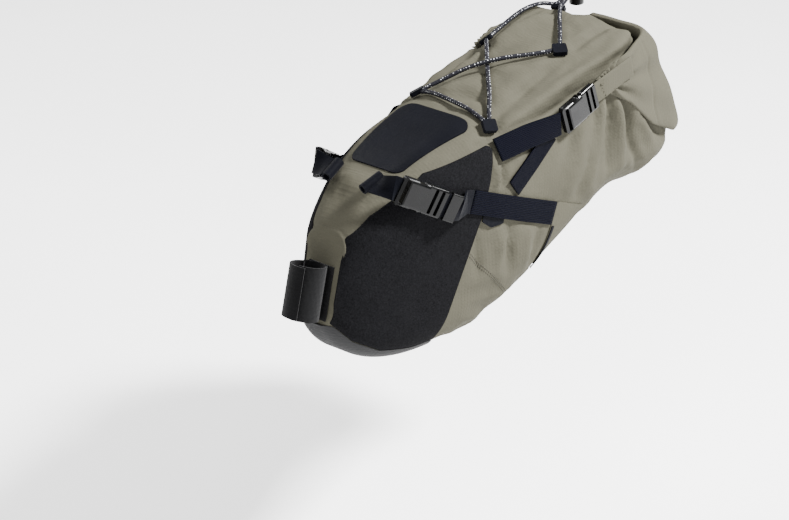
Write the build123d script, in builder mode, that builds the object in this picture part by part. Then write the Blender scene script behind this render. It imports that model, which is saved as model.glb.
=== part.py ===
"""Roll-top saddle bag for bikepacking, hung from the seat post and the saddle rails.

Frame: origin on the seat post's axis at the middle of the post strap, +X to the rear
of the bicycle, +Y to its right side, +Z up. Millimetres.
"""

import os
from math import cos, radians, sin, tan

from build123d import *

os.makedirs("parts", exist_ok=True)

# Driving dimensions
POST_ANGLE = 74.0  # seat post, from the horizontal
POST_BORE = 15.9  # inner radius of the strap round a 31.6 mm post
STRAP_LENGTH = 56.0  # post strap, along the post
STRAP_CLOTH = 1.9
NOSE_GAP = 19.0  # post axis to the nose panel
RAIL_BORE = 3.6  # inner radius of the strap loop round a 7 mm saddle rail
WALL = 2.0  # laminated fabric of the sack
SKIN = 1.2  # sewn-on panels
BOARD = 1.6  # plastic stiffeners
SEAM = 0.25  # play between sewn layers
WEBBING = 25.0
WEBBING_THICK = 1.8
CORD = 4.6
DRAW_ANGLE = 17.0  # rise of the tail buckles and of the roll closure's draw
TAIL_LEAN = 24.7  # lean of the mouth and of the roll across it
RIGHT_DROP = 26.0  # how much lower the right tail buckle sits than the left one
ROLL_THICK = 17.0  # rolled fabric behind the mouth
EAR_THICK = 7.0  # rolled fabric folded forward along the sides
FIT = 0.4  # running gap between moving parts

# The sack's outer section along its length: bottom and top edge as (x, z), width, corner.
STATIONS = [
    ((9, -36), (34, 50), 46, 18),
    ((27, -64), (50, 69), 74, 26),
    ((58, -86), (76, 87), 100, 34),
    ((105, -95), (104, 102), 124, 40),
    ((165, -91), (136, 114), 144, 46),
    ((228, -78), (175, 125), 158, 54),
    ((290, -52), (233, 138), 162, 58),
    ((350, -27), (302, 154), 162, 58),
    ((405, -9), (362, 168), 158, 52),
    ((454, -4), (403, 175), 152, 40),
    ((487, 6), (431, 168), 138, 32),
    ((510, 26), (451, 154), 114, 28),
]

UP = Vector(0, 0, 1)
POST_DIR = Vector(cos(radians(POST_ANGLE)), 0, sin(radians(POST_ANGLE)))
POST_PLANE = Plane(origin=(0, 0, 0), x_dir=(POST_DIR.Z, 0, -POST_DIR.X), z_dir=POST_DIR)
DRAW_DIR = Vector(cos(radians(DRAW_ANGLE)), 0, sin(radians(DRAW_ANGLE)))
DRAW_RISE = Vector(-DRAW_DIR.Z, 0, DRAW_DIR.X)


def finish(piece, name):
    """Name a finished piece and write it."""
    piece.label = name
    export_step(piece, f"parts/{name}.step")


def finish_pair(piece, name):
    """Write the left piece and its mirror image on the right."""
    finish(piece, f"{name}_left")
    finish(mirror(piece, about=Plane.XZ), f"{name}_right")


# --- the sack ---------------------------------------------------------------------------


def section_plane(bottom, top):
    """Plane across the sack whose y axis runs from the bottom edge to the top edge, and its height."""
    low, high = Vector(bottom[0], 0, bottom[1]), Vector(top[0], 0, top[1])
    rise = high - low
    return Plane(origin=(low + high) / 2, x_dir=(0, -1, 0), z_dir=Vector(0, -1, 0).cross(rise)), rise.length


def sack(growth, nose=0.0, tail=0.0):
    """The sack's lofted body, grown all round, with its two ends moved along their normals."""
    with BuildPart() as body:
        for index, (bottom, top, width, corner) in enumerate(STATIONS):
            plane, height = section_plane(bottom, top)
            shift = {0: nose, len(STATIONS) - 1: tail}.get(index, 0.0)
            with BuildSketch(plane.offset(shift)):
                RectangleRounded(width + 2 * growth, height + 2 * growth, corner + growth)
        loft()
    return body.part


SKIN_STOCK = sack(SEAM + SKIN) - sack(SEAM)
BOARD_STOCK = sack(-WALL - FIT, nose=3.0) - sack(-WALL - FIT - BOARD, nose=2.0, tail=1.0)


def cut_from(stock, outline, near_only=True):
    """The piece of a curved layer that lies inside an outline drawn in side view."""
    with BuildPart() as layer:
        add(stock)
        with BuildSketch(Plane.XZ) as shape:
            with BuildLine():
                Polyline(*outline, close=True)
            make_face()
            fillet(shape.vertices(), 4.0)
        extrude(amount=120, both=not near_only, mode=Mode.INTERSECT)
    return layer.part


with BuildPart() as main_shell:
    add(sack(0.0))
    add(sack(-WALL, nose=WALL, tail=1.0), mode=Mode.SUBTRACT)
finish(main_shell.part, "main_shell")

PANEL_LOWER = [(12, -34), (30, -56), (58, -73), (95, -80), (121, -79)]
PANEL_UPPER = [(176, 40), (191, 85), (204, 112), (121, 101), (79, 80), (60, 70), (38, 53), (24, 35)]
finish_pair(cut_from(SKIN_STOCK, PANEL_LOWER + PANEL_UPPER), "side_panel")

SKID_EDGE = [(x, z - 1.0) for x, z in reversed(PANEL_LOWER)]
finish(cut_from(SKIN_STOCK, SKID_EDGE + [(8, -40), (5, -110), (128, -110)], near_only=False), "skid_panel")

WING_OUTLINE = [(289.4, 24), (338, 3), (300, -29), (264, -49), (279.2, 0)]
finish_pair(cut_from(SKIN_STOCK, WING_OUTLINE), "wing_panel")

BASE_OUTLINE = [(45, -62), (200, -62), (215, -110), (30, -110)]
finish(cut_from(BOARD_STOCK, BASE_OUTLINE, near_only=False), "base_stiffener")

with BuildPart() as saddle_patch:
    add(SKIN_STOCK)
    with BuildSketch(Plane.XY.offset(60)) as patch_outline:
        with BuildLine():
            Polyline((102, -34), (200, -49), (200, 49), (102, 34), close=True)
        make_face()
        fillet(patch_outline.vertices(), 12.0)
    extrude(amount=140, mode=Mode.INTERSECT)
finish(saddle_patch.part, "saddle_patch")

# --- the post strap ---------------------------------------------------------------------

NOSE_PLANE = Plane(
    origin=POST_PLANE.from_local_coords(Vector(NOSE_GAP, 0, 10)),
    x_dir=(0, 1, 0),
    z_dir=POST_PLANE.x_dir,
)

with BuildPart() as nose_board:
    with BuildSketch(NOSE_PLANE.offset(WALL + FIT + 1.0)):
        RectangleRounded(34, 70, 10)
    extrude(amount=BOARD)
finish(nose_board.part, "nose_board")

with BuildPart() as post_strap:
    with BuildSketch(POST_PLANE):
        with BuildLine():
            CenterArc((0, 0), POST_BORE + STRAP_CLOTH / 2, -175, 235)
        trace(line_width=STRAP_CLOTH)
        with Locations((POST_BORE + 1.7, 0)):
            Rectangle(1.4, 34)
        Circle(POST_BORE, mode=Mode.SUBTRACT)
    extrude(amount=STRAP_LENGTH / 2, both=True)
finish(post_strap.part, "post_strap")

FLAP_RADIUS = POST_BORE + STRAP_CLOTH + FIT + STRAP_CLOTH / 2
FLAP_ROOT = 62.0
with BuildPart() as post_flap:
    with BuildSketch(POST_PLANE):
        with BuildLine():
            CenterArc((0, 0), FLAP_RADIUS, FLAP_ROOT, 148)
        trace(line_width=STRAP_CLOTH)
    extrude(amount=STRAP_LENGTH / 2 - 1, both=True)
finish(post_flap.part, "post_flap")

# --- webbing ----------------------------------------------------------------------------


def webbing(stations, width=WEBBING):
    """A strap through stations of (centre, width direction), flat between them."""
    centres = [Vector(centre) for centre, _ in stations]
    with BuildPart() as strap:
        for index, (_, across) in enumerate(stations):
            before, after = centres[max(index - 1, 0)], centres[min(index + 1, len(centres) - 1)]
            run = (after - before).normalized()
            across = Vector(across)
            across = (across - run * across.dot(run)).normalized()
            with BuildSketch(Plane(origin=centres[index], x_dir=across, z_dir=run)):
                Rectangle(width, WEBBING_THICK)
        loft(ruled=True)
    return strap.part


COMPRESSION = [((163, -78.8, 64), UP), ((196, -82.4, 50), UP), ((283, -82.8, 13), UP)]
finish_pair(webbing(COMPRESSION), "compression_strap")


def tail_straps(drop):
    """Upper and lower tail straps of one side, meeting at a socket that sits lower by drop."""
    upper = [
        ((205, -75.8, 105.8), (0, 0.5, 0.87)),
        ((245, -80.4 - drop / 12, 109.4 - drop / 2), (0, 0.38 - drop / 100, 0.92)),
        ((288.5 - drop / 8, -88, 112.0 - drop), UP),
    ]
    lower = [((280, -82.9, 102.5 - drop), UP), ((222 + drop / 5, -82.4, 60.0 + drop / 6), UP)]
    return {"upper": webbing(upper), "lower": webbing(lower, width=22)}


for level, strap in tail_straps(0.0).items():
    finish(strap, f"tail_strap_{level}_left")
for level, strap in tail_straps(RIGHT_DROP).items():
    finish(mirror(strap, about=Plane.XZ), f"tail_strap_{level}_right")

# The tab lies between the shell and the compression strap, and only its lower half shows.
TAB_THICK = 1.2
TAB_PLANE = Plane(origin=(190, -78.6, 38), x_dir=(1, -0.083, 0), z_dir=(-0.083, -1, 0))
with BuildPart() as strap_tab:
    with BuildSketch(TAB_PLANE) as tab_outline:
        with BuildLine():
            Polyline((-11, 5.5), (-12.5, -1), (-1, -10.6), (16.5, -11.2), (18, 0), (16.5, 3.5), close=True)
        make_face()
        fillet(tab_outline.vertices(), 2.4)
    extrude(amount=TAB_THICK)
finish_pair(strap_tab.part, "strap_tab")

# --- side-release buckles ---------------------------------------------------------------

BUCKLE_WIDTH = 32.0
FEMALE_LENGTH = 30.0
FEMALE_THICK = 10.5
POCKET_WIDTH = 27.0
POCKET_THICK = 6.6
MALE_END = 52.0
# Outline of one prong, from the ladder round its barb and back.
PRONG = [(32, 11.4), (22, 10.8), (21, 12.9), (16, 12.2), (13, 9.6), (14, 7.6), (20, 7.8), (32, 7.4)]


def buckle_female(frame):
    """Socket half: strap bar at the frame's origin, mouth at FEMALE_LENGTH along its x."""
    side = Plane(origin=frame.origin, x_dir=frame.x_dir, z_dir=-frame.y_dir)
    barrel = Plane(origin=frame.origin, x_dir=frame.y_dir, z_dir=frame.x_dir)
    with BuildPart() as half:
        with BuildSketch(frame):
            with Locations((FEMALE_LENGTH / 2, 0)):
                RectangleRounded(FEMALE_LENGTH, BUCKLE_WIDTH, 4)
        extrude(amount=FEMALE_THICK / 2, both=True)
        with BuildSketch(barrel):
            RectangleRounded(BUCKLE_WIDTH, FEMALE_THICK, 4.8)
        extrude(amount=FEMALE_LENGTH, mode=Mode.INTERSECT)
        with BuildSketch(side):
            with BuildLine():
                Polyline((-1, 2.2), (9, FEMALE_THICK / 2), (9, 8), (-1, 8), close=True)
            make_face()
            with BuildLine():
                Polyline((-1, -2.2), (9, -FEMALE_THICK / 2), (9, -8), (-1, -8), close=True)
            make_face()
        extrude(amount=BUCKLE_WIDTH, both=True, mode=Mode.SUBTRACT)
        with BuildSketch(frame):
            with Locations((5.4, 0)):
                RectangleRounded(4.0, WEBBING + 1.5, 1.2)
            with Locations((21, BUCKLE_WIDTH / 2), (21, -BUCKLE_WIDTH / 2)):
                RectangleRounded(10, 4.6, 2.0)
        extrude(amount=FEMALE_THICK, both=True, mode=Mode.SUBTRACT)
        with BuildSketch(frame):
            with Locations((FEMALE_LENGTH / 2 + 6, 0)):
                Rectangle(FEMALE_LENGTH - 10, POCKET_WIDTH)
        extrude(amount=POCKET_THICK / 2, both=True, mode=Mode.SUBTRACT)
    return half.part


def buckle_male(frame):
    """Plug half in the engaged place: two prongs, a centre guide and a ladder for the strap."""
    barrel = Plane(origin=frame.origin, x_dir=frame.y_dir, z_dir=frame.x_dir)
    with BuildPart() as half:
        with BuildSketch(frame):
            with Locations(((FEMALE_LENGTH + FIT + MALE_END) / 2, 0)):
                RectangleRounded(MALE_END - FEMALE_LENGTH - FIT, BUCKLE_WIDTH - 1, 3.5)
            with Locations((38.6, 0), (46.0, 0)):
                RectangleRounded(3.6, WEBBING + 1.2, 1.2, mode=Mode.SUBTRACT)
        extrude(amount=3.6, both=True)
        with BuildSketch(barrel):
            RectangleRounded(BUCKLE_WIDTH - 1, 7.2, 2.8)
        extrude(amount=MALE_END, mode=Mode.INTERSECT)
        with BuildSketch(frame):
            for flank in (-1, 1):
                with BuildLine():
                    Polyline(
                        *[(along, flank * out) for along, out in PRONG], close=True,
                    )
                make_face()
            with Locations((24, 0)):
                Rectangle(16, 4)
        extrude(amount=2.6, both=True)
    return half.part


def buckle_frame(start, run, across):
    """Frame with x along the strap, y across it and z away from the bag."""
    run = Vector(run).normalized()
    across = Vector(across)
    across = (across - run * across.dot(run)).normalized()
    return Plane(origin=start, x_dir=run, z_dir=run.cross(across))


TAIL_FRAME = buckle_frame((293, -87.5, 112.5), DRAW_DIR, UP)
LOW_TAIL_FRAME = buckle_frame((293, -87.5, 112.5 - RIGHT_DROP), DRAW_DIR, UP)
RAIL_FRAME = buckle_frame((79, -57, 99), (0.79, -0.40, -0.46), UP)
for half, name in ((buckle_female, "tail_buckle_socket"), (buckle_male, "tail_buckle_plug")):
    finish(half(TAIL_FRAME), f"{name}_left")
    finish(mirror(half(LOW_TAIL_FRAME), about=Plane.XZ), f"{name}_right")
finish_pair(buckle_female(RAIL_FRAME), "rail_buckle_socket")
finish_pair(buckle_male(RAIL_FRAME), "rail_buckle_plug")

# --- rail straps ------------------------------------------------------------------------

RAIL_POINT = Vector(72, -27, 101)
RAIL_DIR = Vector(0.93, -0.15, 0.34).normalized()
RAIL_PLANE = Plane(origin=RAIL_POINT, x_dir=(0, -1, 0), z_dir=RAIL_DIR)
TONGUE_START = RAIL_POINT + RAIL_PLANE.x_dir * (RAIL_BORE + WEBBING_THICK / 2)
TONGUE_BEND = RAIL_FRAME.origin - RAIL_FRAME.x_dir * 5
TONGUE_END = RAIL_FRAME.origin - RAIL_FRAME.x_dir * FIT

with BuildPart() as rail_strap:
    with BuildSketch(RAIL_PLANE):
        Circle(RAIL_BORE + WEBBING_THICK)
        Circle(RAIL_BORE, mode=Mode.SUBTRACT)
    extrude(amount=WEBBING / 2, both=True)
    add(webbing([(TONGUE_START, RAIL_DIR), (TONGUE_BEND, RAIL_FRAME.y_dir), (TONGUE_END, RAIL_FRAME.y_dir)]))
    with BuildSketch(RAIL_PLANE):
        Circle(RAIL_BORE)
    extrude(amount=WEBBING, both=True, mode=Mode.SUBTRACT)
finish_pair(rail_strap.part, "rail_strap")

STRAP_STOPS = [RAIL_FRAME.from_local_coords(Vector(along, 0, 0)) for along in (MALE_END + FIT, 70, 73)]
SEWN_STOPS = [Vector(154, -79.4, 67.4), Vector(161, -79.2, 64.6)]
finish_pair(
    webbing([(stop, RAIL_FRAME.y_dir) for stop in STRAP_STOPS] + [(stop, UP) for stop in SEWN_STOPS]),
    "rail_webbing",
)

KEEPER_START = RAIL_FRAME.from_local_coords(Vector(57, 0, 0))
KEEPER_PLANE = Plane(origin=KEEPER_START, x_dir=RAIL_FRAME.y_dir, z_dir=RAIL_FRAME.x_dir)
with BuildPart() as strap_keeper:
    with BuildSketch(KEEPER_PLANE):
        RectangleRounded(WEBBING + 5, WEBBING_THICK + 4.2, 1.6)
        Rectangle(WEBBING + 0.8, WEBBING_THICK + 0.8, mode=Mode.SUBTRACT)
    extrude(amount=12)
finish_pair(strap_keeper.part, "strap_keeper")

# --- the roll closure -------------------------------------------------------------------

ROLL_PLANE = Plane(
    origin=(0, 0, 0),
    x_dir=(cos(radians(TAIL_LEAN)), 0, sin(radians(TAIL_LEAN))),
    z_dir=(-sin(radians(TAIL_LEAN)), 0, cos(radians(TAIL_LEAN))),
)
MOUTH = 475.4  # inner face of the roll, square to its plane
EAR_START = 370.0
EAR_BEND = 424.0  # where the ears turn in towards the tail
HALF_TAIL = 81.0
HALF_END = 64.0
BATTEN_LEVEL = -121.0


def horseshoe(gap):
    """Half outline of the roll seen along its rise, at a distance outside its inner face."""
    side = gap * EAR_THICK
    rear = gap * ROLL_THICK
    return [(EAR_START, HALF_TAIL + side), (EAR_BEND, HALF_TAIL + side), (MOUTH + rear, HALF_END + side)]


with BuildPart() as roll_closure:
    with BuildSketch(ROLL_PLANE) as plan:
        with BuildLine():
            outer = horseshoe(1)
            Polyline(*outer, *[(x, -y) for x, y in reversed(outer)], close=True)
        make_face()
        fillet(plan.vertices().sort_by(Axis.X)[-2:], 28)
    extrude(amount=260, both=True)
    with BuildSketch(ROLL_PLANE) as hollow:
        with BuildLine():
            inner = horseshoe(0)
            Polyline((EAR_START - 40, HALF_TAIL), *inner[1:], *[(x, -y) for x, y in reversed(inner[1:])],
                     (EAR_START - 40, -HALF_TAIL), close=True)
        make_face()
        fillet(hollow.vertices().sort_by(Axis.X)[-2:], 8)
    extrude(amount=270, both=True, mode=Mode.SUBTRACT)
    with BuildSketch(Plane.XZ) as profile:
        with BuildLine():
            Polyline(
                (367, 122), (405, 97), (445, 60), (492, 36), (520, 34), (525, 44), (478, 142),
                (466, 146), (430, 150), (380, 151), (360, 146), close=True,
            )
        make_face()
        fillet(profile.vertices(), 4.0)
    extrude(amount=130, both=True, mode=Mode.INTERSECT)
    with BuildSketch(ROLL_PLANE.offset(BATTEN_LEVEL)):
        with Locations((MOUTH + ROLL_THICK / 2, 0)):
            Rectangle(BOARD + 2 * FIT, 110)
    extrude(amount=12, both=True, mode=Mode.SUBTRACT)
finish(roll_closure.part, "roll_closure")

with BuildPart() as roll_batten:
    with BuildSketch(ROLL_PLANE.offset(BATTEN_LEVEL)):
        with Locations((MOUTH + ROLL_THICK / 2, 0)):
            Rectangle(BOARD, 108)
    extrude(amount=11, both=True)
finish(roll_batten.part, "roll_batten")

TAB_Y = -HALF_TAIL - EAR_THICK - SEAM - WEBBING_THICK / 2


def roll_tab(frame, drop):
    """Fabric tab from the plug's ladder to the outside of the roll's ear."""
    start = frame.from_local_coords(Vector(MALE_END + FIT, 0, 0))
    middle, end = Vector(358, TAB_Y, 132.4 - drop), Vector(402, TAB_Y, 142 - drop / 2)
    return webbing([(start, UP), (middle, UP), (end, UP)])


finish(roll_tab(TAIL_FRAME, 0.0), "roll_tab_left")
finish(mirror(roll_tab(LOW_TAIL_FRAME, RIGHT_DROP), about=Plane.XZ), "roll_tab_right")

# --- the bungee -------------------------------------------------------------------------

ANCHORS = {  # webbing tabs that hold the cord: place and outward normal
    "far_front": ((222, 50, 133.4), (-0.18, 0.46, 0.87)),
    "near_front": ((211, -60, 126.5), (-0.16, -0.64, 0.76)),
    "far_middle": ((341, 60, 154.2), (-0.16, 0.65, 0.74)),
    "near_middle": ((344, -40, 165.6), (-0.21, -0.30, 0.93)),
    "far_rear": ((445, 48, 163.4), (0.62, 0.22, 0.75)),
}
LOCK_CENTRE = Vector(475, 48, 173.5)
CORD_PITCH = 2.6  # half the distance between the two ends in the lock
KNOT = LOCK_CENTRE + Vector(21, 0, 0)
LOCK_EXIT = LOCK_CENTRE - Vector(16, 0, 0)  # the cord runs straight as far as here
LEFT_END, RIGHT_END = (Vector(0, side * CORD_PITCH, 0) for side in (-1, 1))
CORD_ROUTE = [
    KNOT + RIGHT_END, LOCK_EXIT + RIGHT_END, (455.5, 50.8, 171.4), (446, 51.5, 166), (428, 54, 173),
    (410, 55.8, 174.4), (392, 57.4, 172), (370, 58.8, 164.8), ANCHORS["far_middle"][0],
    (326, 46, 158.8), (312, 33, 159.8), (276, 0, 152.4), (243, -32, 144.6), (226, -46, 137.2),
    ANCHORS["near_front"][0], (212, -34, 137.2), (217, 0, 138.8), (221, 32, 138.8),
    ANCHORS["far_front"][0], (246, 33, 144.8), (268, 17, 156.2), (296, -5, 162.6), (320, -22, 163),
    ANCHORS["near_middle"][0], (366, -22, 173), (395, 4, 179), (424, 27, 177.6), (446, 44.5, 167),
    (455.5, 45.2, 171.6), LOCK_EXIT + LEFT_END, KNOT + LEFT_END,
]


def corner_radii(points, share=0.45, smallest=3.0):
    """Arc radius at each inner corner, as large as its two runs allow."""
    radii = []
    for before, corner, after in zip(points, points[1:], points[2:]):
        run_in, run_out = corner - before, after - corner
        half_turn = radians(run_in.get_angle(run_out)) / 2
        radii.append(max(smallest, share * min(run_in.length, run_out.length) / tan(half_turn)))
    return radii


route = [Vector(point) for point in CORD_ROUTE]
radii = corner_radii(route)
with BuildPart() as bungee_cord:
    with BuildLine() as path:
        FilletPolyline(*route, radius=radii)
    with BuildSketch(Plane(origin=route[0], z_dir=route[1] - route[0])):
        Circle(CORD / 2)
    sweep()
    with Locations(KNOT):
        Sphere(5.2)
finish(bungee_cord.part, "bungee_cord")
print("cord radii", [round(radius, 1) for radius in radii], "length", round(path.wires()[0].length, 1))

with BuildPart() as cord_anchors:
    for place, normal in ANCHORS.values():
        with BuildSketch(Plane(origin=place, x_dir=(0.7, -0.7, 0.3), z_dir=normal)):
            RectangleRounded(15, 14, 2)
        extrude(amount=2.5, both=True)
finish(cord_anchors.part, "cord_anchors")

# --- cord lock --------------------------------------------------------------------------

LOCK_RADIUS = 8.0
LOCK_BORE = 5.6
LOCK_TOP = 5.0
BUTTON_FOOT = -5.0
BUTTON_HEIGHT = 15.0
LOCK_FLOOR = -11.5
PRESS = 3.5
HOLE = CORD / 2 + 0.3
LOCK_PLANE = Plane(origin=LOCK_CENTRE, x_dir=(1, 0, 0), z_dir=(0, 0, 1))

with BuildPart() as cord_lock_body:
    with BuildSketch(LOCK_PLANE.offset(LOCK_FLOOR - 1.5)):
        Circle(LOCK_RADIUS)
    extrude(amount=LOCK_TOP - LOCK_FLOOR + 1.5)
    fillet(cord_lock_body.edges().group_by(Axis.Z)[0], 1.2)
    with BuildSketch(LOCK_PLANE.offset(LOCK_FLOOR)):
        Circle(LOCK_BORE)
    extrude(amount=LOCK_TOP - LOCK_FLOOR + 1, mode=Mode.SUBTRACT)
    with BuildSketch(Plane(origin=LOCK_CENTRE, x_dir=(0, 1, 0), z_dir=(1, 0, 0))):
        RectangleRounded(2 * (CORD_PITCH + HOLE), 2 * HOLE, HOLE - 0.01)
    extrude(amount=12, both=True, mode=Mode.SUBTRACT)
finish(cord_lock_body.part, "cord_lock_body")

with BuildPart() as cord_lock_button:
    with BuildSketch(LOCK_PLANE.offset(BUTTON_FOOT)):
        Circle(LOCK_BORE - 0.25)
    extrude(amount=BUTTON_HEIGHT)
    fillet(cord_lock_button.edges().group_by(Axis.Z)[-1], 1.2)
    with BuildSketch(Plane(origin=LOCK_CENTRE, x_dir=(0, 1, 0), z_dir=(1, 0, 0))):
        with Locations((0, PRESS / 2)):
            Rectangle(2 * (CORD_PITCH + HOLE) - 0.6, 2 * HOLE + PRESS)
    extrude(amount=12, both=True, mode=Mode.SUBTRACT)
finish(cord_lock_button.part, "cord_lock_button")

SPRING_LENGTH = BUTTON_FOOT - LOCK_FLOOR - 1.2
SPRING_FOOT = LOCK_CENTRE + Vector(0, 0, LOCK_FLOOR + 0.6)
with BuildPart() as cord_lock_spring:
    with BuildLine() as coil:
        Helix(pitch=SPRING_LENGTH / 3, height=SPRING_LENGTH, radius=4.0, center=SPRING_FOOT)
    with BuildSketch(Plane(origin=coil.line @ 0, z_dir=coil.line % 0)):
        Circle(0.4)
    sweep(is_frenet=True)
finish(cord_lock_spring.part, "cord_lock_spring")
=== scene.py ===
"""Looks of the roll-top saddle bag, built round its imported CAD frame. Metres, in the frame's own axes."""

from math import cos, pi, radians, sin

import bpy
import numpy as np
from mathutils import Matrix, Vector, noise
from mathutils.bvhtree import BVHTree


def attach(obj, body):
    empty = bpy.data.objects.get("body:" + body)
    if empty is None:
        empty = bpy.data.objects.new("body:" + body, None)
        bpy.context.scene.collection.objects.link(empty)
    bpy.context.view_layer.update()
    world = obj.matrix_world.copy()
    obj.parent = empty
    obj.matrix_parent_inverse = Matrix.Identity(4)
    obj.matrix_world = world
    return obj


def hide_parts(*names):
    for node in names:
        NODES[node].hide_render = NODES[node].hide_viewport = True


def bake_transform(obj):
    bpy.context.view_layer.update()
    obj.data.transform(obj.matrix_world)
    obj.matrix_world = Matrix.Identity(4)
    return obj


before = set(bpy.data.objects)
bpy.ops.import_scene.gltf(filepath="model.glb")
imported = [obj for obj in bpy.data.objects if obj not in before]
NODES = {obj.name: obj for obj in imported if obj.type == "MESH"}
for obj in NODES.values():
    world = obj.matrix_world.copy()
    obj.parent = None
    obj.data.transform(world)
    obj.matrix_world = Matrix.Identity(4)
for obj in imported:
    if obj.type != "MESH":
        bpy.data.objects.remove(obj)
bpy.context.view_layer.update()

MM = 0.001
SIDES = {"left": -1, "right": 1}


def mm(points):
    """Points given in millimetres, as vectors in metres."""
    return [Vector(point) * MM for point in points]


# --- camera, floor and light -----------------------------------------------------------

CAMERA_PLACE = Vector((-2.01315, -2.06041, 1.31615))
CAMERA_RIGHT = Vector((0.69321, -0.72073, 0.0))
CAMERA_UP = Vector((0.29378, 0.28256, 0.91316))
CAMERA_ROLL = radians(1.759)
CAMERA_LENS = 145.3


def make_camera():
    data = bpy.data.cameras.new("camera")
    data.lens = CAMERA_LENS
    data.sensor_width = 36.0
    data.sensor_fit = "HORIZONTAL"
    data.clip_end = 50.0
    camera = bpy.data.objects.new("camera", data)
    right = cos(CAMERA_ROLL) * CAMERA_RIGHT - sin(CAMERA_ROLL) * CAMERA_UP
    up = sin(CAMERA_ROLL) * CAMERA_RIGHT + cos(CAMERA_ROLL) * CAMERA_UP
    turn = Matrix((right, up, right.cross(up))).transposed()
    camera.matrix_world = Matrix.Translation(CAMERA_PLACE) @ turn.to_4x4()
    bpy.context.scene.collection.objects.link(camera)
    bpy.context.scene.camera = camera


def make_light(name, place, size, power):
    data = bpy.data.lights.new(name, "AREA")
    data.size = size
    data.energy = power
    light = bpy.data.objects.new(name, data)
    light.location = place
    aim = Vector((0.25, 0.0, 0.04)) - Vector(place)
    light.rotation_euler = aim.to_track_quat("-Z", "Y").to_euler()
    bpy.context.scene.collection.objects.link(light)


def make_studio():
    bpy.ops.mesh.primitive_plane_add(size=30.0, location=(0.0, 0.0, -0.34))
    floor = bpy.context.object
    floor.name = "floor"
    floor.data.materials.append(plain("floor_paint", (0.96, 0.96, 0.96), 0.9, Emission_Color=(1, 1, 1, 1),
                                      Emission_Strength=0.8))
    world = bpy.data.worlds.new("studio")
    world.use_nodes = True
    world.node_tree.nodes["Background"].inputs["Color"].default_value = (1, 1, 1, 1)
    world.node_tree.nodes["Background"].inputs["Strength"].default_value = 0.40
    bpy.context.scene.world = world
    make_light("key", (1.25, -1.35, 1.75), 0.35, 330)
    make_light("rim", (0.2, 1.6, 1.6), 0.8, 60)
    make_light("front", (-1.9, -0.6, 1.2), 0.8, 45)


# --- materials --------------------------------------------------------------------------


class Paint:
    """A material and short ways to add and join its nodes."""

    def __init__(self, name, roughness, **sockets):
        self.material = bpy.data.materials.new(name)
        self.material.use_nodes = True
        self.tree = self.material.node_tree
        self.shader = self.tree.nodes["Principled BSDF"]
        self.shader.inputs["Roughness"].default_value = roughness
        for socket, value in sockets.items():
            self.shader.inputs[socket.replace("_", " ")].default_value = value
        self.place = self.node("ShaderNodeTexCoord")

    def node(self, kind, **values):
        made = self.tree.nodes.new(kind)
        for key, value in values.items():
            if key in made.inputs:
                made.inputs[key].default_value = value
            else:
                setattr(made, key, value)
        return made

    def join(self, source, target):
        self.tree.links.new(source, target)

    def noise(self, scale, detail=4.0, source="Object"):
        made = self.node("ShaderNodeTexNoise", Scale=scale, Detail=detail)
        self.join(self.place.outputs[source], made.inputs["Vector"])
        return made.outputs["Fac"]

    def wave(self, scale, direction, source="Object", distortion=0.0):
        made = self.node("ShaderNodeTexWave", Scale=scale, Distortion=distortion)
        made.bands_direction = direction
        self.join(self.place.outputs[source], made.inputs["Vector"])
        return made.outputs["Fac"]

    def ramp(self, source, stops):
        made = self.node("ShaderNodeValToRGB")
        while len(made.color_ramp.elements) < len(stops):
            made.color_ramp.elements.new(0.5)
        for element, (position, colour) in zip(made.color_ramp.elements, stops):
            element.position = position
            element.color = (*colour, 1.0)
        self.join(source, made.inputs["Fac"])
        return made.outputs["Color"]

    def math(self, operation, first, second):
        made = self.node("ShaderNodeMath", operation=operation)
        for socket, value in zip(made.inputs, (first, second)):
            if isinstance(value, float):
                socket.default_value = value
            else:
                self.join(value, socket)
        return made.outputs["Value"]

    def bump(self, height, depth, before=None):
        made = self.node("ShaderNodeBump", Distance=depth, Strength=1.0)
        self.join(height, made.inputs["Height"])
        if before:
            self.join(before, made.inputs["Normal"])
        return made.outputs["Normal"]

    def done(self, colour=None, normal=None, roughness=None):
        for source, socket in ((colour, "Base Color"), (normal, "Normal"), (roughness, "Roughness")):
            if source:
                self.join(source, self.shader.inputs[socket])
        return self.material


def shades(colour, spread):
    """A darker and a lighter shade of a colour."""
    return [tuple(channel * factor for channel in colour) for factor in (1 - spread, 1 + spread)]


def plain(name, colour, roughness, **sockets):
    paint = Paint(name, roughness, **sockets)
    dark, light = shades(colour, 0.02)
    return paint.done(paint.ramp(paint.noise(3.0), [(0.3, dark), (0.7, light)]))


def woven(name, colour, spread=0.10, thread=0.0006, roughness=0.78, sheen=0.15, slub=0.5, depth=0.00012):
    """Plain-woven cloth: two sets of threads, slow shade changes and a fine slub."""
    paint = Paint(name, roughness, Sheen_Weight=sheen, Sheen_Roughness=0.5, Specular_IOR_Level=0.02)
    pitch = 1.0 / (thread * 20.0)
    weave = paint.math("MULTIPLY", paint.wave(pitch, "X"), paint.wave(pitch, "Z"))
    cloud = paint.noise(26.0, 5.0)
    grain = paint.noise(900.0, 2.0)
    tone = paint.math("ADD", paint.math("MULTIPLY", cloud, 1.0 - slub), paint.math("MULTIPLY", grain, slub))
    dark, light = shades(colour, spread)
    normal = paint.bump(paint.noise(160.0, 3.0), 0.0004)
    return paint.done(
        paint.ramp(tone, [(0.32, dark), (0.68, light)]),
        paint.bump(weave, depth, normal),
        paint.ramp(cloud, [(0.2, (roughness - 0.08,) * 3), (0.8, (roughness + 0.08,) * 3)]),
    )


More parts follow.
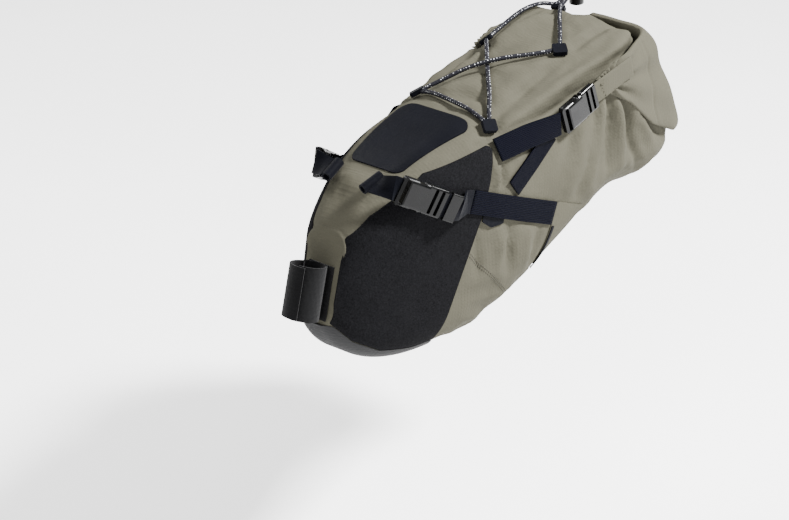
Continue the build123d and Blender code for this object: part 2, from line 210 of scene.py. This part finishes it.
def ribbed(name, colour, ribs=14):
    """Webbing: ribs along its length, counted over its width in the UV map, with cross threads, and painted
    shade darkening the grooves between them.
    """
    paint = Paint(name, 0.62, Sheen_Weight=0.0, Sheen_Roughness=0.4, Specular_IOR_Level=0.02)
    across = paint.wave(ribs / 20.0 * 6.28, "X", "UV")
    threads = paint.wave(240.0, "Y", "UV")
    tone = paint.math("MULTIPLY", across, paint.math("ADD", paint.math("MULTIPLY", threads, 0.3), 0.7))
    # Painted shade: the colour follows the rib and thread pattern, darker in the grooves and lighter on the
    # rib tops.
    dark, light = shades(colour, 0.45)
    return paint.done(paint.ramp(tone, [(0.1, dark), (0.8, light)]), paint.bump(tone, 0.0005))


def moulded(name, colour, roughness=0.26):
    """Gloss plastic with a faint moulded grain and rubbed patches."""
    paint = Paint(name, roughness, Specular_IOR_Level=0.16, Coat_Weight=0.04, Coat_Roughness=0.1)
    cloud = paint.noise(70.0, 6.0)
    dark, light = shades(colour, 0.3)
    return paint.done(
        paint.ramp(cloud, [(0.35, dark), (0.7, light)]),
        paint.bump(paint.noise(2600.0, 2.0), 0.00003),
        paint.ramp(cloud, [(0.3, (roughness - 0.06,) * 3), (0.75, (roughness + 0.16,) * 3)]),
    )


def braided(name, turns=300.0):
    """Bungee cover: black braid with pale flecks, laid in the tube's own UV map."""
    paint = Paint(name, 0.6, Specular_IOR_Level=0.03)
    place = paint.node("ShaderNodeMapping")
    paint.join(paint.place.outputs["UV"], place.inputs["Vector"])
    place.inputs["Scale"].default_value = (turns, 4.0, 1.0)
    checks = paint.node("ShaderNodeTexVoronoi", Scale=1.0, Randomness=0.25)
    paint.join(place.outputs["Vector"], checks.inputs["Vector"])
    flecks = [(0.12, (0.62, 0.63, 0.64)), (0.20, (0.012, 0.012, 0.015))]
    colour = paint.ramp(checks.outputs["Distance"], flecks)
    return paint.done(colour, paint.bump(checks.outputs["Distance"], 0.0005))


def brushed(name):
    paint = Paint(name, 0.3, Metallic=1.0)
    return paint.done(paint.ramp(paint.noise(400.0), [(0.3, (0.5, 0.5, 0.5)), (0.7, (0.66, 0.66, 0.66))]))


OLIVE = woven("olive_cloth", (0.054, 0.0515, 0.0385), sheen=0.0)
OLIVE_SEAM = woven("olive_thread", (0.024, 0.0225, 0.016), spread=0.2)
CHARCOAL = woven(
    "charcoal_cloth", (0.0044, 0.0044, 0.0050), spread=0.7, thread=0.0009, roughness=0.8, slub=0.8, sheen=0.0
)
SKID = woven("skid_cloth", (0.018, 0.018, 0.0185), spread=0.2, roughness=0.6, sheen=0.02)
PATCH = woven(
    "coated_patch", (0.0032, 0.0034, 0.0048), spread=0.15, roughness=0.5, sheen=0.0, slub=0.2, depth=0.00004
)
LOOP = woven("loop_cloth", (0.0045, 0.0045, 0.0048), spread=0.4, thread=0.0008, roughness=0.88, sheen=0.06)
SHEETING = woven("stiff_sheet", (0.10, 0.10, 0.10), roughness=0.5)
STRAP = ribbed("webbing", (0.0012, 0.0014, 0.0036))
BINDING = woven(
    "binding_tape", (0.0018, 0.0020, 0.0034), spread=0.4, thread=0.0012, roughness=0.66, sheen=0.02
)
PLASTIC = moulded("buckle_plastic", (0.0012, 0.0012, 0.0014), 0.24)
LOCK = moulded("lock_plastic", (0.003, 0.003, 0.0033), 0.3)
BUNGEE = braided("bungee_braid")
STEEL = brushed("spring_wire")

# --- mesh helpers -----------------------------------------------------------------------


def make_mesh(name, points, faces, material, uvs=None, smooth=True):
    mesh = bpy.data.meshes.new(name)
    mesh.from_pydata([tuple(point) for point in points], [], faces)
    mesh.update()
    if uvs is not None:
        layer = mesh.uv_layers.new(name="UVMap")
        for loop in mesh.loops:
            layer.data[loop.index].uv = uvs[loop.vertex_index]
    if smooth:
        mesh.shade_smooth()
    mesh.materials.append(material)
    made = bpy.data.objects.new(name, mesh)
    bpy.context.scene.collection.objects.link(made)
    return made


def tree_of(piece):
    graph = bpy.context.evaluated_depsgraph_get()
    graph.update()
    return BVHTree.FromObject(piece, graph)


def smooth_line(values, count):
    """Catmull-Rom line through rows of values, sampled evenly in the row number."""
    values = np.array(values, float)
    padded = np.vstack([2 * values[0] - values[1], values, 2 * values[-1] - values[-2]])
    rows = []
    for t in np.linspace(0, len(values) - 1, count):
        index = min(int(t), len(values) - 2)
        f = t - index
        a, b, c, d = padded[index:index + 4]
        square, cube = 2 * a - 5 * b + 4 * c - d, 3 * b - a - 3 * c + d
        rows.append(0.5 * (2 * b + (c - a) * f + square * f**2 + cube * f**3))
    return np.array(rows)


# --- the sack ---------------------------------------------------------------------------

# Bottom edge, top edge and width of the sack's sections, in millimetres.
SECTIONS = [
    (9, -36, 34, 50, 46), (27, -64, 50, 69, 74), (58, -86, 76, 87, 100), (105, -95, 104, 102, 124),
    (165, -91, 136, 114, 144), (228, -78, 175, 125, 158), (290, -52, 233, 138, 162),
    (350, -27, 302, 154, 162),
    (405, -9, 362, 168, 158), (454, -4, 403, 175, 152), (487, 6, 431, 168, 138), (510, 26, 451, 154, 114),
]
RINGS = 170
AROUND = 150
CAP_RINGS = 8
END_ROWS = 3
SQUARENESS = 0.62
CAST_FROM = 1.6

shell_tree = tree_of(NODES["main_shell"])


def sack_points():
    """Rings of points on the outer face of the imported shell, closed by a cap at each end."""
    rings = []
    for low_x, low_z, high_x, high_z, width in smooth_line(SECTIONS, RINGS)[END_ROWS:-1] * MM:
        low, high = Vector((low_x, 0, low_z)), Vector((high_x, 0, high_z))
        centre, rise = (low + high) / 2, (high - low) / 2
        ring = []
        for step in range(AROUND):
            angle = 2 * pi * step / AROUND
            side, up = (np.sign(w) * abs(w) ** SQUARENESS for w in (cos(angle), sin(angle)))
            ray = Vector((0, side * width / 2, 0)) + rise * up
            hit = shell_tree.ray_cast(centre + ray * CAST_FROM, -ray.normalized())[0]
            ring.append(hit if hit is not None else centre + ray)
        rings.append(np.array(ring))
    for end, bulge in ((0, 0.0034), (-1, 0.002)):
        centre = rings[end].mean(0)
        outward = rings[end].mean(0) - rings[1 if end == 0 else -2].mean(0)
        outward /= np.linalg.norm(outward)
        caps = []
        for step in range(1, CAP_RINGS + 1):
            part = step / (CAP_RINGS + 0.5)
            dome = outward * bulge * (1 - (1 - part) ** 3)
            caps.append(centre + (rings[end] - centre) * (1 - part**2) + dome)
        rings = caps[::-1] + rings if end == 0 else rings + caps
    return rings


def make_sack():
    rings = sack_points()
    points = np.vstack(rings)
    faces = []
    for row in range(len(rings) - 1):
        for step in range(AROUND):
            after = (step + 1) % AROUND
            faces.append((row * AROUND + step, row * AROUND + after, (row + 1) * AROUND + after,
                          (row + 1) * AROUND + step))
    faces.append(tuple(range(AROUND))[::-1])
    last = (len(rings) - 1) * AROUND
    faces.append(tuple(range(last, last + AROUND)))
    return make_mesh("sack", points, faces, OLIVE)


def mesh_points(piece):
    flat = np.empty(len(piece.data.vertices) * 3)
    piece.data.vertices.foreach_get("co", flat)
    return flat.reshape(-1, 3)


def mesh_normals(piece):
    flat = np.empty(len(piece.data.vertices) * 3)
    piece.data.vertices.foreach_get("normal", flat)
    return flat.reshape(-1, 3)


def set_points(piece, points):
    piece.data.vertices.foreach_set("co", np.ascontiguousarray(points, float).ravel())
    piece.data.update()


def line_distance(points, line):
    """Distance of each point from a broken line, and how far along the line it is, 0 to 1."""
    best = np.full(len(points), 1e9)
    along = np.zeros(len(points))
    count = len(line) - 1
    for index in range(count):
        start, run = line[index], line[index + 1] - line[index]
        share = np.clip((points - start) @ run / (run @ run), 0, 1)
        gap = np.linalg.norm(points - (start + share[:, None] * run), axis=1)
        nearer = gap < best
        best[nearer] = gap[nearer]
        along[nearer] = (index + share[nearer]) / count
    return best, along


def on_surface(tree, line, count=14):
    """A line laid on a surface: its points moved to the nearest place there."""
    return np.array([tree.find_nearest(Vector(point))[0] for point in smooth_line(line, count)])


# Folds of the near side: points, height (minus is a groove) and half width, in millimetres.
SIDE_FOLDS = [
    ([(372, -82, 128), (374, -82, 80), (371, -82, 28)], -3.2, 6),
    ([(380, -82, 126), (391, -82, 80), (392, -80, 20)], 3.0, 9),
    ([(384, -82, 122), (402, -82, 88), (413, -80, 45), (436, -76, 8)], -3.6, 7),
    ([(396, -82, 118), (424, -80, 80), (450, -76, 35)], 2.6, 9),
    ([(408, -82, 108), (444, -80, 66), (474, -70, 34)], -2.8, 6),
    ([(361, -82, 122), (350, -84, 70), (338, -82, 30)], 2.4, 9),
    ([(352, -82, 118), (346, -84, 66), (322, -82, 20)], -2.6, 6),
    ([(330, -82, 104), (318, -84, 60), (300, -84, 8)], 1.8, 10),
    ([(316, -82, 92), (296, -84, 50)], -2.0, 7),
    ([(195, -76, 104), (190, -78, 84), (184, -78, 64)], -3.4, 4),
    ([(204, -78, 102), (201, -80, 84), (196, -80, 62)], 3.0, 5),
    ([(216, -79, 100), (211, -81, 84), (207, -81, 60)], -2.8, 4.5),
    ([(228, -80, 104), (238, -82, 92), (240, -82, 60)], 2.0, 7),
    ([(181, -76, 42), (172, -76, 16), (172, -74, -20)], -2.2, 5),
    ([(212, -80, 38), (204, -80, 12), (197, -78, -24)], 2.4, 7),
    ([(228, -80, 28), (216, -80, 4), (214, -78, -30)], -3.0, 6),
    ([(252, -81, 22), (240, -80, -2), (236, -76, -34)], 2.2, 8),
    ([(268, -81, 12), (258, -80, -12), (252, -74, -36)], -2.0, 6),
    ([(214, -64, 120), (300, -66, 138), (380, -64, 150), (448, -52, 162)], 4.6, 8),
    ([(232, -74, 112), (310, -76, 124), (370, -76, 136)], -4.2, 6),
    ([(222, -54, 126), (290, -48, 146), (344, -46, 158)], -3.0, 8),
    ([(216, -68, 117), (256, -74, 116), (292, -78, 118)], 3.0, 5),
    ([(207, -66, 118), (196, -66, 114), (184, -62, 114)], -2.4, 4),
    ([(360, -46, 164), (410, -44, 172), (452, -44, 162)], -3.0, 8),
    ([(390, -72, 146), (432, -68, 150), (466, -58, 146)], -3.6, 6),
]
TOP_FOLDS = [
    ([(225, 30, 134), (270, 0, 148), (330, -20, 160)], 2.4, 11),
    ([(236, 40, 134), (290, 30, 152), (352, 6, 166)], -2.6, 9),
    ([(262, 46, 140), (330, 36, 160), (400, 14, 174)], 2.4, 12),
    ([(226, 10, 134), (240, -22, 136), (236, -44, 130)], -2.0, 8),
    ([(350, 52, 154), (400, 30, 172), (446, 4, 170)], -2.6, 9),
    ([(370, 0, 172), (410, -12, 176), (450, -10, 170)], 2.2, 10),
]
RIGHT_SHARE = 0.8
RIGHT_SPREAD = 1.1
FOLD_DEPTH = 2.1
FOLD_WIDTH = 0.85


def soft_creases(points):
    """Slow unevenness and short sharp creases, none near the nose and little near the mouth."""
    lift = np.zeros(len(points))
    for scale, height in ((16.0, 0.0022), (38.0, 0.0012), (80.0, 0.0005)):
        stretch = Vector((0.7 * scale, scale, scale))
        waves = np.array([noise.noise(Vector(point) * stretch) for point in points])
        lift += height * (1 - 2.4 * np.abs(waves))
    ends = np.clip((points[:, 0] - 0.09) / 0.08, 0, 1) * np.clip((0.50 - points[:, 0]) / 0.05, 0.3, 1)
    return (lift - lift.mean()) * ends


def fold_surface(piece, tree, held):
    """Raises and sinks the cloth along each fold, fading at its ends."""
    points, normals = mesh_points(piece), mesh_normals(piece)
    lift = np.zeros(len(points))
    folds = list(SIDE_FOLDS + TOP_FOLDS)
    for line, height, width in SIDE_FOLDS:
        mirrored = [(x, -y, z) for x, y, z in line]
        folds.append((mirrored, height * RIGHT_SHARE, width * RIGHT_SPREAD))
    for line, height, width in folds:
        path = on_surface(tree, np.array(line, float) * MM)
        gap, along = line_distance(points, path)
        fade = np.sin(pi * np.clip(0.12 + 0.82 * along, 0, 1)) ** 0.7
        lift += FOLD_DEPTH * height * MM * np.exp(-((gap / (FOLD_WIDTH * width * MM)) ** 2)) * fade
    lift += soft_creases(points)
    lift = np.where(lift > 0, lift * (1 - held), lift * (1 - 0.6 * held))
    set_points(piece, points + normals * lift[:, None])


MOUTH_NORMAL = (0.9085, 0.0, 0.4179)
CLOTH_FRAMES = 20
CLOTH_PRESSURE = 4.0
CLOTH_CAP = 0.0032
HOLD_NEAR = 0.0035
HOLD_FAR = 0.0105
FREE_PARTS = ("main_shell", "base_stiffener", "nose_board", "roll_", "cord_lock", "post_", "rail_strap")


def attached_tree():
    """One search tree of everything fixed on the outside of the sack."""
    points, faces = [], []
    for name, node in NODES.items():
        if not name.startswith(FREE_PARTS):
            start = len(points)
            points += [node.matrix_world @ vertex.co for vertex in node.data.vertices]
            faces += [[start + index for index in face.vertices] for face in node.data.polygons]
    return BVHTree.FromPolygons(points, faces)


def holding(points):
    """How firmly the cloth is held, 0 to 1: under attached pieces, at the nose and at the mouth."""
    tree = attached_tree()
    gaps = np.array([tree.find_nearest(Vector(point))[3] for point in points])
    held = np.clip((HOLD_FAR - gaps) / (HOLD_FAR - HOLD_NEAR), 0, 1)
    held = np.maximum(held, np.clip((0.07 - points[:, 0]) / 0.02, 0, 1))
    return np.maximum(held, np.clip((points @ np.array(MOUTH_NORMAL) - 0.455) / 0.012, 0, 1))


def evened(values):
    """Values on the sack's rings, averaged with their neighbours."""
    grid = values.reshape(-1, AROUND)
    for _ in range(3):
        grid = (grid * 2 + np.roll(grid, 1, 1) + np.roll(grid, -1, 1)) / 4
        padded = np.vstack([grid[:1], grid, grid[-1:]])
        grid = (padded[:-2] + 2 * grid + padded[2:]) / 4
    return grid.ravel()


def swell(piece, held):
    """Cloth under a little air pressure: it fills out between the places that hold it."""
    points, normals = mesh_points(piece), mesh_normals(piece)
    group = piece.vertex_groups.new(name="held")
    for index, weight in enumerate(held):
        if weight > 0.01:
            group.add([index], float(weight), "REPLACE")
    cloth = piece.modifiers.new("cloth", "CLOTH")
    settings = cloth.settings
    settings.quality = 6
    settings.mass = 0.3
    settings.tension_stiffness = settings.compression_stiffness = 12
    settings.bending_stiffness = 0.25
    settings.use_pressure = True
    settings.uniform_pressure_force = CLOTH_PRESSURE
    settings.shrink_min = -0.03
    settings.vertex_group_mass = "held"
    settings.effector_weights.gravity = 0
    cloth.collision_settings.use_collision = False
    scene = bpy.context.scene
    for number in range(1, CLOTH_FRAMES + 1):
        scene.frame_set(number)
    graph = bpy.context.evaluated_depsgraph_get()
    evaluated = piece.evaluated_get(graph)
    swollen = np.array([vertex.co[:] for vertex in evaluated.data.vertices])
    piece.modifiers.clear()
    scene.frame_set(1)
    rise = evened(np.clip(((swollen - points) * normals).sum(1), 0, CLOTH_CAP)) * (1 - held)
    set_points(piece, points + normals * rise[:, None])


sack = make_sack()
sack_held = holding(mesh_points(sack))
swell(sack, sack_held)
fold_surface(sack, tree_of(sack), sack_held)
sack_tree = tree_of(sack)
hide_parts("main_shell")


# --- pieces laid on the sack ------------------------------------------------------------


def side_hit(x, z, side):
    """Place and normal on the sack, seen from that side; a point past its edge moves inwards."""
    goal = Vector((0.09, 0.0))
    spot = Vector((x, z))
    for _ in range(40):
        hit, normal, _, _ = sack_tree.ray_cast(Vector((spot.x, side * 0.2, spot.y)), Vector((0, -side, 0)))
        if hit is not None and hit.y * side > 0.012:
            return hit, normal
        spot = spot.lerp(goal, 0.03)
    return sack_tree.find_nearest(Vector((x, side * 0.05, z)))[:2]


def stitches(name, line, material, pitch=0.0030, radius=0.00032, lift=0.0004, tree=None):
    """A row of stitches: short raised threads along a line on the cloth."""
    tree = tree or sack_tree
    line = np.array(line, float)
    lengths = np.concatenate([[0], np.cumsum(np.linalg.norm(np.diff(line, axis=0), axis=1))])
    count = int(lengths[-1] / pitch)
    points, faces = [], []
    for number in range(count):
        spots = []
        for share in (0.12, 0.5, 0.84):
            t = (number + share) * pitch
            spot = Vector([np.interp(t, lengths, line[:, axis]) for axis in range(3)])
            place, normal, _, _ = tree.find_nearest(spot)
            spots.append((place + normal * (lift if share == 0.5 else -0.0001), normal))
        if (spots[2][0] - spots[0][0]).length > 1.6 * pitch or (spots[1][0] - spots[0][0]).length < 1e-5:
            continue
        run = (spots[2][0] - spots[0][0]).normalized()
        base = len(points)
        for centre, normal in spots:
            across = run.cross(normal).normalized()
            for turn in range(6):
                angle = pi / 3 * turn
                points.append(centre + (across * cos(angle) + normal * sin(angle)) * radius)
        for ring in (0, 6):
            for turn in range(6):
                after = (turn + 1) % 6
                low, high = base + ring, base + ring + 6
                faces.append((low + turn, low + after, high + after, high + turn))
        faces += [tuple(base + turn for turn in range(6))[::-1], tuple(base + 12 + turn for turn in range(6))]
    return make_mesh(name, points, faces, material)


# Lines of stitching on each side, in side view: on a panel, or on the sack.
SEWING = {
    "panel": ("side_panel", [(119, -74), (172.5, 41), (187, 85), (200, 109)], CHARCOAL),
    "wing_top": ("wing_panel", [(292, 20), (333, 3.5)], OLIVE_SEAM),
    "wing_front": ("wing_panel", [(290, 20), (282.5, -1), (268, -46)], OLIVE_SEAM),
    "seam_front": (None, [(160, 5), (184, -24), (212, -54)], OLIVE_SEAM),
    "seam_rear": (None, [(163.4, 5), (187.4, -24), (215.4, -54)], OLIVE_SEAM),
}
for name, side in SIDES.items():
    for label, (panel, line, thread) in SEWING.items():
        spots = [side_hit(x * MM, z * MM, side)[0] for x, z in smooth_line(line, 30)]
        tree = tree_of(NODES[f"{panel}_{name}"]) if panel else sack_tree
        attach(stitches(f"{label}_stitching_{name}", spots, thread, tree=tree), "bag")

# --- webbing ----------------------------------------------------------------------------


def ribbon(name, stations, width, thickness, material, steps=40):
    """A flat strap with rounded edges through stations of (centre, width direction), in metres."""
    centres = smooth_line([tuple(centre) for centre, _ in stations], steps)
    across = smooth_line([tuple(Vector(way).normalized()) for _, way in stations], steps)
    profile = [(cos(a), sin(a)) for a in np.linspace(0, 2 * pi, 24, endpoint=False)]
    points, uvs, faces = [], [], []
    travelled = 0.0
    for index in range(steps):
        run = Vector(centres[min(index + 1, steps - 1)] - centres[max(index - 1, 0)]).normalized()
        way = Vector(across[index])
        way = (way - run * way.dot(run)).normalized()
        out = run.cross(way)
        if index:
            travelled += float(np.linalg.norm(centres[index] - centres[index - 1]))
        for c, s in profile:
            wide, thick = (np.sign(w) * abs(w) ** 0.35 for w in (c, s))
            points.append(Vector(centres[index]) + way * wide * width / 2 + out * thick * thickness / 2)
            uvs.append(((wide + 1) / 2, travelled))
    count = len(profile)
    for row in range(steps - 1):
        for step in range(count):
            after = (step + 1) % count
            low, high = row * count, (row + 1) * count
            faces.append((low + step, low + after, high + after, high + step))
    faces += [tuple(range(count))[::-1], tuple(range((steps - 1) * count, steps * count))]
    return make_mesh(name, points, faces, material, uvs)


def dense(stations, count):
    """Stations divided evenly along their straight runs."""
    centres = np.array([tuple(centre) for centre, _ in stations])
    ways = np.array([tuple(Vector(way).normalized()) for _, way in stations])
    reach = np.concatenate([[0], np.cumsum(np.linalg.norm(np.diff(centres, axis=0), axis=1))])
    places = np.linspace(0, reach[-1], count)
    pick = lambda rows: np.stack([np.interp(places, reach, rows[:, axis]) for axis in range(3)], axis=1)
    return list(zip(pick(centres), pick(ways)))


UP = (0, 0, 1)
STRAP_WIDTHS = {"compression_strap": 25, "tail_strap_lower": 22, "tail_strap_upper": 25}
DROPS = {"left": 0.0, "right": 26.0}  # how much lower the right tail buckle sits


def strap_lines(drop):
    """Stations of the straps of one side, drawn on the left."""
    return {
        "compression_strap": [
            ((163, -78.8, 64), UP), ((196, -82.4, 50), UP), ((240, -83, 31), UP), ((283, -82.8, 13), UP),
        ],
        "tail_strap_lower": [
            ((280, -82.9, 102.5 - drop), UP), ((251 + drop / 10, -82.9, 80.5 - drop * 0.4), UP),
            ((222 + drop / 5, -82.4, 60.0 + drop / 6), UP),
        ],
        "tail_strap_upper": [
            ((205, -75.8, 105.8), (0, 0.5, 0.87)),
            ((245, -80.4 - drop / 12, 109.4 - drop / 2), (0, 0.38 - drop / 100, 0.92)),
            ((288.5 - drop / 8, -88, 112.0 - drop), UP),
        ],
    }


def on_side(stations, side):
    return [(Vector((x, -side * y, z)) * MM, (way[0], -side * way[1], way[2])) for (x, y, z), way in stations]


for name, side in SIDES.items():
    for strap, stations in strap_lines(DROPS[name]).items():
        width = STRAP_WIDTHS[strap] * MM
        piece = ribbon(f"{strap}_web_{name}", dense(on_side(stations, side), 14), width, 0.0017, STRAP)
        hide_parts(f"{strap}_{name}")
        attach(piece, "bag")
    binding = smooth_line([(281.5, -1), (274, -22), (264.5, -46)], 24)
    stations = []
    for x, z in binding:
        place, normal = side_hit(x * MM, z * MM, side)
        stations.append((place + normal * 0.0020, Vector((0.83, 0, 0.55)).cross(normal).cross(normal)))
    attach(ribbon(f"wing_binding_{name}", stations, 0.0042, 0.0012, BINDING), "bag")

# --- the bungee -------------------------------------------------------------------------

CORD_ROUTE = mm([
    (496, 50.6, 173.5), (459, 50.6, 173.5), (455.5, 50.8, 171.4), (446, 51.5, 166), (428, 54, 173),
    (410, 55.8, 174.4), (392, 57.4, 172), (370, 58.8, 164.8), (341, 60, 154.2), (326, 46, 158.8),
    (312, 33, 159.8), (276, 0, 152.4), (243, -32, 144.6), (226, -46, 137.2), (211, -60, 126.5),
    (212, -34, 137.2), (217, 0, 138.8), (221, 32, 138.8), (222, 50, 133.4), (246, 33, 144.8),
    (268, 17, 156.2), (296, -5, 162.6), (320, -22, 163), (344, -40, 165.6), (366, -22, 173),
    (395, 4, 179), (424, 27, 177.6), (446, 44.5, 167), (455.5, 45.2, 171.6), (459, 45.4, 173.5),
    (496, 45.4, 173.5),
])
CORD_DIAMETER = 0.0046


def cord_line(name, route):
    data = bpy.data.curves.new(name, "CURVE")
    data.dimensions = "3D"
    data.resolution_u = 16
    spline = data.splines.new("NURBS")
    spline.points.add(len(route) - 1)
    for point, place in zip(spline.points, route):
        point.co = (*place, 1.0)
    spline.order_u = 3
    spline.use_endpoint_u = True
    data.bevel_depth = CORD_DIAMETER / 2
    data.bevel_resolution = 5
    data.use_fill_caps = True
    data.materials.append(BUNGEE)
    made = bpy.data.objects.new(name, data)
    bpy.context.scene.collection.objects.link(made)
    return made


bungee = cord_line("bungee", CORD_ROUTE)
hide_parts("bungee_cord")
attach(bungee, "bag")

# --- the roll closure -------------------------------------------------------------------

LEAN = radians(24.7)
ROLL_OUT = np.array([cos(LEAN), 0, sin(LEAN)])
ROLL_UP = np.array([-sin(LEAN), 0, cos(LEAN)])
# Top and bottom edge of the roll against the distance out from the bag, in millimetres.
ROLL_TOP = ([384, 408, 453, 484, 492], [-18, -20, -42, -60, -66])
ROLL_BOTTOM = ([384, 408, 429, 462, 480, 492], [-42, -78, -128, -170, -181, -180])
RIDGE_RISE = 0.015
KNOT_PLACE = (0.387, -0.030)
COLUMNS = 280
AROUND_ROLL = 120


def horseshoe(count):
    """Middle line of the roll seen along its rise: one ear, round the tail, the other ear."""
    half = [(0.376, 0.0845), (0.400, 0.0845), (0.424, 0.0842), (0.446, 0.0780), (0.464, 0.0720),
            (0.4770, 0.0625), (0.4830, 0.0490), (0.4845, 0.0300)]
    whole = [(u, -y) for u, y in half] + [(0.4850, 0.0)] + half[::-1]
    return smooth_line(whole, count)


def roll_relief(u, w, y, level, rear):
    """How far the rolled cloth stands out: turn lines, pleats fanning from the knot, puckers and a hem."""
    du, dw = u - KNOT_PLACE[0], w - KNOT_PLACE[1]
    distance = np.hypot(du, dw)
    fan = 0.0042 * np.exp(-distance / 0.055) * min(distance / 0.012, 1.0) * sin(15 * np.arctan2(dw, du) + 0.8)
    turns = 0.0012 * rear * sin(2 * pi * (2.2 * level + 0.25 * sin(70 * y)) + 1.0)
    puckers = 0.0010 * rear * sin(390 * y + 6 * level) * np.exp(-((level - 0.12) ** 2) / 0.03)
    hem_line = -0.0016 * np.exp(-(((u - 0.452 - 0.25 * (w + 0.07)) / 0.0022) ** 2)) * (1 - rear * 0.5)
    soft = 0.0024 * noise.noise(Vector((u * 30, y * 18, w * 22)))
    return fan + turns + puckers + hem_line + soft


def make_roll():
    path = horseshoe(COLUMNS)
    points, faces = [], []
    for index, (u, y) in enumerate(path):
        run = path[min(index + 1, COLUMNS - 1)] - path[max(index - 1, 0)]
        out = np.array([run[1], -run[0]]) / np.linalg.norm(run)
        rear = float(np.clip((u - 0.405) / 0.07, 0, 1))
        ridge = RIDGE_RISE * rear * float(np.clip((0.034 - y) / 0.02, 0, 1))
        top = np.interp(u * 1000, *ROLL_TOP) * MM + ridge
        bottom = np.interp(u * 1000, *ROLL_BOTTOM) * MM
        thick = 0.0050 + 0.0100 * rear**1.5
        for step in range(AROUND_ROLL):
            angle = 2 * pi * step / AROUND_ROLL
            c, s = cos(angle), sin(angle)
            height = np.sign(s) * abs(s) ** 0.6
            depth = np.sign(c) * abs(c) ** 0.7
            w = (top + bottom) / 2 + (top - bottom) / 2 * height
            level = (w - bottom) / (top - bottom)
            reach = thick / 2 * depth + roll_relief(u, w, y, level, rear) * max(c, 0) ** 0.5
            sideways = np.array([0, y + out[1] * reach, 0])
            points.append((u + out[0] * reach) * ROLL_OUT + w * ROLL_UP + sideways)
    for row in range(COLUMNS - 1):
        for step in range(AROUND_ROLL):
            after = (step + 1) % AROUND_ROLL
            low, high = row * AROUND_ROLL, (row + 1) * AROUND_ROLL
            faces.append((low + step, high + step, high + after, low + after))
    last = (COLUMNS - 1) * AROUND_ROLL
    faces += [tuple(range(AROUND_ROLL)), tuple(range(last, last + AROUND_ROLL))[::-1]]
    return make_mesh("rolled_mouth", points, faces, OLIVE)


roll = make_roll()
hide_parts("roll_closure")
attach(roll, "roll")

TAB_Y = -89.15
for name, side in SIDES.items():
    drop = DROPS[name]
    stations = [
        ((343.1, -87.5, 127.8 - drop), UP), ((350, -87.9, 130 - drop), UP), ((362, TAB_Y, 133.5 - drop), UP),
        ((382, TAB_Y, 138 - drop * 0.75), UP), ((402, TAB_Y + 0.4, 142 - drop / 2), UP),
    ]
    tab = ribbon(f"roll_tab_cloth_{name}", dense(on_side(stations, side), 12), 0.0235, 0.0018, OLIVE)
    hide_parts(f"roll_tab_{name}")
    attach(tab, "roll")

# --- CAD pieces that stay, with their finish --------------------------------------------

FINISHES = {
    "side_panel": CHARCOAL, "skid_panel": SKID, "saddle_patch": PATCH, "wing_panel": OLIVE,
    "tail_buckle": PLASTIC, "rail_buckle": PLASTIC, "strap_keeper": PLASTIC, "strap_tab": BINDING,
    "cord_lock_spring": STEEL, "cord_lock": LOCK, "cord_anchors": BINDING, "rail_strap": BINDING,
    "rail_webbing": BINDING, "roll_batten": SHEETING,
    "base_stiffener": SHEETING, "nose_board": SHEETING, "post_": LOOP,
}
for name, node in NODES.items():
    finish = next((paint for start, paint in FINISHES.items() if name.startswith(start)), None)
    if finish and not node.hide_render:
        node.data.materials.clear()
        node.data.materials.append(finish)
        edges = node.modifiers.new("edges", "BEVEL")
        edges.width = 0.0009 if "buckle" in name else 0.0004
        edges.segments = 3
        edges.limit_method = "ANGLE"
        edges.angle_limit = radians(40)

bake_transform(sack)

make_studio()
make_camera()
